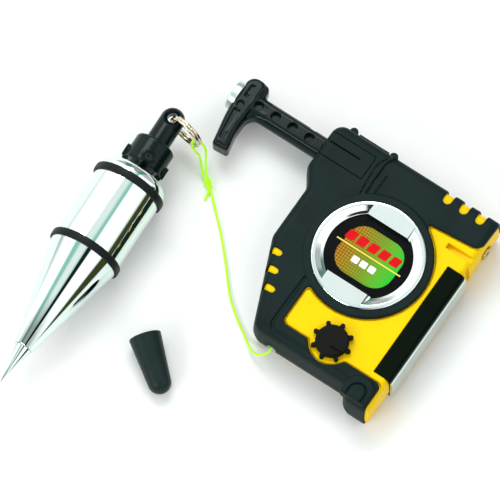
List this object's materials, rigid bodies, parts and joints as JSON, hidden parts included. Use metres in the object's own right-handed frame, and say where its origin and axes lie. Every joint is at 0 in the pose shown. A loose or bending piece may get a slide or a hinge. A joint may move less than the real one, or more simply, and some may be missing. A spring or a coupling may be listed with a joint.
{
  "type": "plumb line setter",
  "caption": "Palm-size plumb line reel with magnet base, push-in needle and T handle, its free line, a chrome plumb bob and a loose rubber tip cap.",
  "frame": {"origin": "under the drum axis, on the flat back face that the reel lies on", "axes": "+X along the plunger towards the magnet base, +Z out of the dial"},
  "size_m": [0.1846, 0.2077, 0.0388],
  "materials": {
    "yellow_shell": "moulded, satin gloss",
    "grip_elastomer": "fine matt texture",
    "black_plastic": "moulded, satin gloss",
    "label": "printed foil under clear lacquer",
    "bright_chrome": "mirror plated",
    "bare_steel": "turned and oiled",
    "nickel": "nickel plated wire",
    "brass_metal": "turned",
    "magnet_black": "smooth moulded cover",
    "white_acetal": "moulded",
    "line_lime": "fluorescent twisted line",
    "bumper_rubber": "smooth rubber"
  },
  "bodies": {
    "case": {"front_shell": "yellow_shell", "rear_shell": "yellow_shell", "front_grip": "grip_elastomer", "rear_grip": "grip_elastomer", "bezel_ring": "bright_chrome", "label_plate": "label", "channel_cover": "grip_elastomer", "case_screws": "bare_steel", "magnet_block": "magnet_black", "pole_plate": "bright_chrome", "needle_bush": "bare_steel", "drum_axle": "bare_steel", "thrust_washer": "white_acetal", "spring_arbor": "brass_metal", "rewind_spring": "bare_steel", "line_eyelet": "bare_steel", "line_lead": "line_lime", "line_run": "line_lime", "release_spring": "bare_steel"},
    "plunger": {"plunger_arm": "black_plastic", "striking_cap": "bright_chrome", "plunger_core": "bare_steel", "needle_chuck": "brass_metal", "needle": "bare_steel"},
    "lock_bar": {"release_bar": "black_plastic", "lock_pawl": "bare_steel"},
    "brake_knob": {"brake_knob": "black_plastic", "knob_shaft": "white_acetal"},
    "brake_shoe": {"brake_shoe": "bare_steel", "brake_pad": "bumper_rubber"},
    "drum": {"line_drum": "white_acetal", "spring_cover": "white_acetal", "wound_line": "line_lime"},
    "ring": {"split_ring": "nickel", "line_loop": "line_lime", "line_knot": "line_lime"},
    "neck": {"bob_neck": "black_plastic"},
    "bob": {"bob_collar": "black_plastic", "collar_screws": "bare_steel", "bob_body": "bright_chrome", "bob_tip": "bright_chrome", "lower_bumper": "bumper_rubber", "upper_bumper": "bumper_rubber", "damper_weight": "brass_metal"},
    "cap": {"tip_cap": "bumper_rubber"}
  },
  "joints": [
    {"name": "plunger_slide", "type": "slide", "parent": "case", "child": "plunger", "axis": [1, 0, 0], "range_m": [0, 0.03]},
    {"name": "lock_press", "type": "slide", "parent": "case", "child": "lock_bar", "axis": [0, -1, 0], "range_m": [0, 0.002], "stiffness_N_per_m": 600, "deforming": ["release_spring"]},
    {"name": "brake_turn", "type": "hinge", "parent": "case", "child": "brake_knob", "pos_m": [0.0101, -0.047, 0.025], "axis": [0, 0, 1], "range_deg": [0, 120]},
    {"name": "brake_shoe_slide", "type": "slide", "parent": "case", "child": "brake_shoe", "axis": [-0.2101, 0.9777, 0], "range_m": [0, 0.0009]},
    {"name": "line_payout", "type": "slide", "parent": "case", "child": "ring", "axis": [-0.7986, 0.6018, 0], "range_m": [0, 0.3], "deforming": ["line_run"]},
    {"name": "drum_spin", "type": "hinge", "parent": "case", "child": "drum", "pos_m": [0, 0, 0.012], "axis": [0, 0, 1], "range_deg": [0, 1102.84]},
    {"name": "neck_swing", "type": "hinge", "parent": "ring", "child": "neck", "pos_m": [-0.121, 0.0075, 0.0194], "axis": [0, 0, 1], "range_deg": [-30, 10]},
    {"name": "bob_swivel", "type": "hinge", "parent": "neck", "child": "bob", "pos_m": [-0.121, 0.0075, 0.0194], "axis": [-0.0436, 0.999, 0], "continuous": true},
    {"name": "cap_lift", "type": "slide", "parent": "case", "child": "cap", "axis": [0, 0, 1], "range_m": [0, 0.05]}
  ],
  "couplings": [
    {"joint": "brake_turn", "follows": "brake_shoe_slide", "rad_per_m": 2327.1},
    {"joint": "drum_spin", "follows": "line_payout", "rad_per_m": 64.103}
  ]
}
